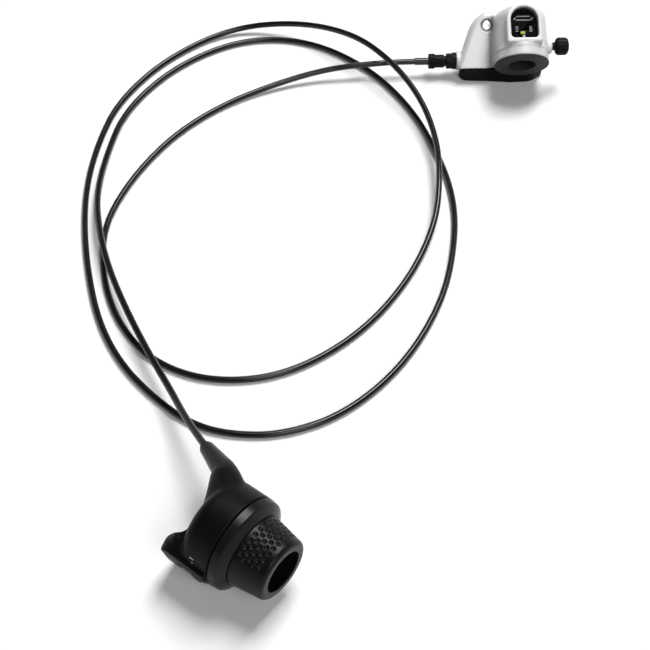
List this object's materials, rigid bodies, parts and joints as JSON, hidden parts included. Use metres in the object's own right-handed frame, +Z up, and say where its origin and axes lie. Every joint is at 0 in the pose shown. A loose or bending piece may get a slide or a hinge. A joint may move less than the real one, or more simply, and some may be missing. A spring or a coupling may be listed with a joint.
{
  "type": "twist-grip gear shifter with cable and bell crank",
  "caption": "Right-hand twist-grip gear shifter with indicator pod, looped cable in a black casing and a silver bell crank with window, barrel adjuster and fixing screw for a geared hub axle",
  "frame": {"origin": "on the handlebar axis, in the middle of the housing's clamp wall", "axes": "+X along the handlebar and out of the grip's end, +Z up from the table, +Y to the side of the cable horn"},
  "size_m": [0.3394, 0.4747, 0.0597],
  "materials": {
    "black_satin": "satin black moulded plastic",
    "charcoal": "satin charcoal plastic",
    "grip_rubber": "soft dark rubber with moulded dimples",
    "black_moulded": "black moulded plastic",
    "casing_black": "glossy black casing skin",
    "clear": "clear plastic",
    "dial_black": "black dial with white figures",
    "pointer_red": "red pointer",
    "inner_resin": "dark grey resin",
    "steel": "plated steel",
    "silver": "silver painted plastic",
    "index_yellow": "yellow-green plastic",
    "black_metal": "black plated metal"
  },
  "bodies": {
    "frame": {"shifter_housing": "black_satin", "outlet_nozzle": "black_satin", "casing_ferrule": "black_moulded", "clamp_bolt": "steel", "clamp_nut": "steel", "indicator_window": "clear", "indicator_dial": "dial_black", "shift_wire": "steel", "detent_spring": "steel", "retaining_ring": "steel", "cable_casing": "casing_black", "bell_cover": "silver", "bell_base": "black_moulded", "cover_screw": "steel", "base_screws": "steel", "axle_socket": "black_moulded", "window_lens": "clear", "index_plate": "black_moulded", "pivot_pin": "steel", "return_spring": "steel", "hub_wire": "steel", "adjuster_sleeve": "black_moulded"},
    "grip": {"grip_core": "inner_resin", "cable_drum": "inner_resin", "wire_nipple": "steel", "indicator_pointer": "pointer_red", "grip_collar": "charcoal", "grip_rubber": "grip_rubber"},
    "lever": {"bell_lever": "inner_resin", "lever_index": "index_yellow", "anchor_washer": "steel", "anchor_bolt": "steel"},
    "adjuster": {"barrel_adjuster": "black_metal"},
    "nut": {"lock_nut": "black_metal"},
    "fixing": {"fixing_screw": "black_metal", "fixing_knob": "black_moulded"}
  },
  "joints": [
    {"name": "grip_twist", "type": "hinge", "parent": "frame", "child": "grip", "pos_m": [0, 0, 0], "axis": [1, 0, 0], "range_deg": [-20, 20], "deforming": ["detent_spring", "shift_wire"]},
    {"name": "lever_pivot", "type": "hinge", "parent": "frame", "child": "lever", "pos_m": [-0.10496, 0.41757, 0.014], "axis": [0.3214, -0.383, 0.866], "range_deg": [-19, 19], "deforming": ["return_spring", "hub_wire"]},
    {"name": "adjuster_turn", "type": "hinge", "parent": "frame", "child": "adjuster", "pos_m": [-0.13655, 0.38522, -0.0144], "axis": [0.766, 0.6428, 0], "continuous": true},
    {"name": "lock_nut_turn", "type": "hinge", "parent": "frame", "child": "nut", "pos_m": [-0.13088, 0.38997, -0.0144], "axis": [0.766, 0.6428, 0], "continuous": true},
    {"name": "fixing_turn", "type": "hinge", "parent": "frame", "child": "fixing", "pos_m": [-0.06912, 0.42775, 0.0052], "axis": [0.766, 0.6428, 0], "continuous": true}
  ],
  "couplings": [
    {"joint": "lever_pivot", "follows": "grip_twist", "ratio": -0.9319}
  ]
}
